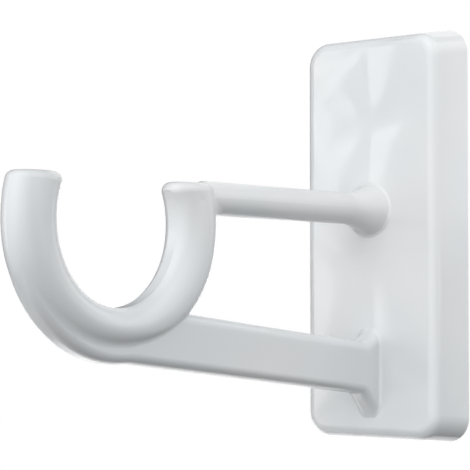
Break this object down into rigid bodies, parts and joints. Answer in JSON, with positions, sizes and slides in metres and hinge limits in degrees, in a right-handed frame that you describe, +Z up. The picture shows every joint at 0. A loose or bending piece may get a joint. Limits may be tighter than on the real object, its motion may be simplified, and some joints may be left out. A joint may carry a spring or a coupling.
{
  "type": "curtain pole bracket",
  "caption": "One-piece moulded wall bracket with an open-topped cup for a curtain pole, carried on a round upper rod and a sloping lower arm from a tall rounded wall plate with a hollow back.",
  "frame": {"origin": "centre of the wall plate's back, on the wall plane", "axes": "+X along the pole, +Y into the wall, +Z up"},
  "size_m": [0.034, 0.1041, 0.08],
  "materials": {
    "white_plastic": "gloss, as moulded"
  },
  "bodies": {
    "root": {"bracket": "white_plastic"}
  },
  "joints": []
}
